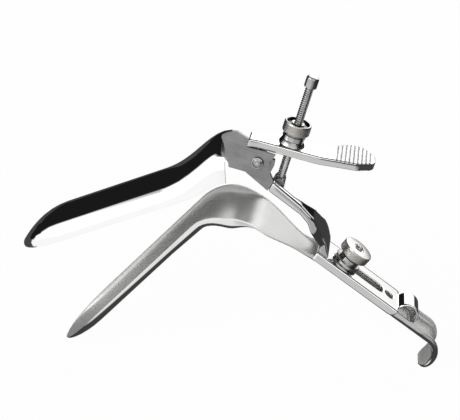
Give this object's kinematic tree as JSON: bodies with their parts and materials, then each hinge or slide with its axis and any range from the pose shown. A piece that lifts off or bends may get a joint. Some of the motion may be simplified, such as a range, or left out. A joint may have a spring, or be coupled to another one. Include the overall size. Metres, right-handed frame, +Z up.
{
  "type": "bivalve speculum",
  "caption": "Open-sided stainless steel bivalve speculum with a thumb lever, threaded angle rod with knurled nut, and a sliding yoke clamped on a hooked handle.",
  "frame": {"origin": "bottom centre of the bounding box, on the surface that the lower blade's tip and the end of the handle's hook stand on", "axes": "+X from the blade tips towards the handle's hook, +Y away from the side with the hinge and the yoke's arm, +Z up"},
  "size_m": [0.2144, 0.0422, 0.1542],
  "materials": {
    "mirror_steel": "mirror polished stainless steel",
    "satin_steel": "satin stainless steel",
    "knurled_steel": "knurled stainless steel",
    "thread_steel": "threaded stainless steel, darker in its grooves"
  },
  "bodies": {
    "handle": {"lower_blade": "satin_steel", "clamp_stud": "satin_steel"},
    "yoke": {"yoke_hinge_plate": "satin_steel", "yoke_arm": "mirror_steel", "yoke_tail": "mirror_steel", "rod_lug": "satin_steel", "rod_pivot_pin": "satin_steel", "hinge_rivet": "satin_steel", "hinge_washer": "satin_steel"},
    "upper": {"upper_blade": "mirror_steel", "upper_hinge_plate": "satin_steel", "thumb_lever": "mirror_steel", "lever_saddle": "satin_steel"},
    "rod": {"threaded_rod": "thread_steel", "rod_cap": "satin_steel"},
    "collar": {"seat_collar": "thread_steel"},
    "nut": {"adjusting_nut": "knurled_steel"},
    "clamp_seat": {"clamp_washer": "satin_steel", "clamp_collar": "thread_steel"},
    "knob": {"clamp_knob": "knurled_steel"}
  },
  "joints": [
    {"name": "yoke_slide", "type": "slide", "parent": "handle", "child": "yoke", "axis": [-0.808, 0, 0.5892], "range_m": [0, 0.014]},
    {"name": "blade_hinge", "type": "hinge", "parent": "yoke", "child": "upper", "pos_m": [0.01579, 0.00092, 0.11422], "axis": [0, 1, 0], "range_deg": [-15.5, 12]},
    {"name": "rod_swing", "type": "hinge", "parent": "yoke", "child": "rod", "pos_m": [0.02537, -0.00908, 0.101], "axis": [0, 1, 0], "range_deg": [-7.38, 5.8]},
    {"name": "nut_travel", "type": "slide", "parent": "rod", "child": "collar", "axis": [0.2656, 0, 0.9641], "range_m": [-0.00283, 0.00361]},
    {"name": "nut_spin", "type": "hinge", "parent": "collar", "child": "nut", "pos_m": [0.03222, -0.00908, 0.12587], "axis": [0.2656, 0, 0.9641], "range_deg": [-971.1, 1252.6]},
    {"name": "clamp_spin", "type": "hinge", "parent": "clamp_seat", "child": "knob", "pos_m": [0.05778, 0.00092, 0.05266], "axis": [0.5892, 0, 0.808], "range_deg": [0, 360.2]},
    {"name": "clamp_travel", "type": "slide", "parent": "handle", "child": "clamp_seat", "axis": [0.5892, 0, 0.808], "range_m": [0, 0.001]}
  ],
  "couplings": [
    {"joint": "rod_swing", "follows": "blade_hinge", "ratio": 0.45},
    {"joint": "nut_travel", "follows": "blade_hinge", "m_per_rad": -0.0128},
    {"joint": "nut_spin", "follows": "blade_hinge", "ratio": -80.425},
    {"joint": "clamp_spin", "follows": "clamp_travel", "rad_per_m": 6283.2}
  ]
}
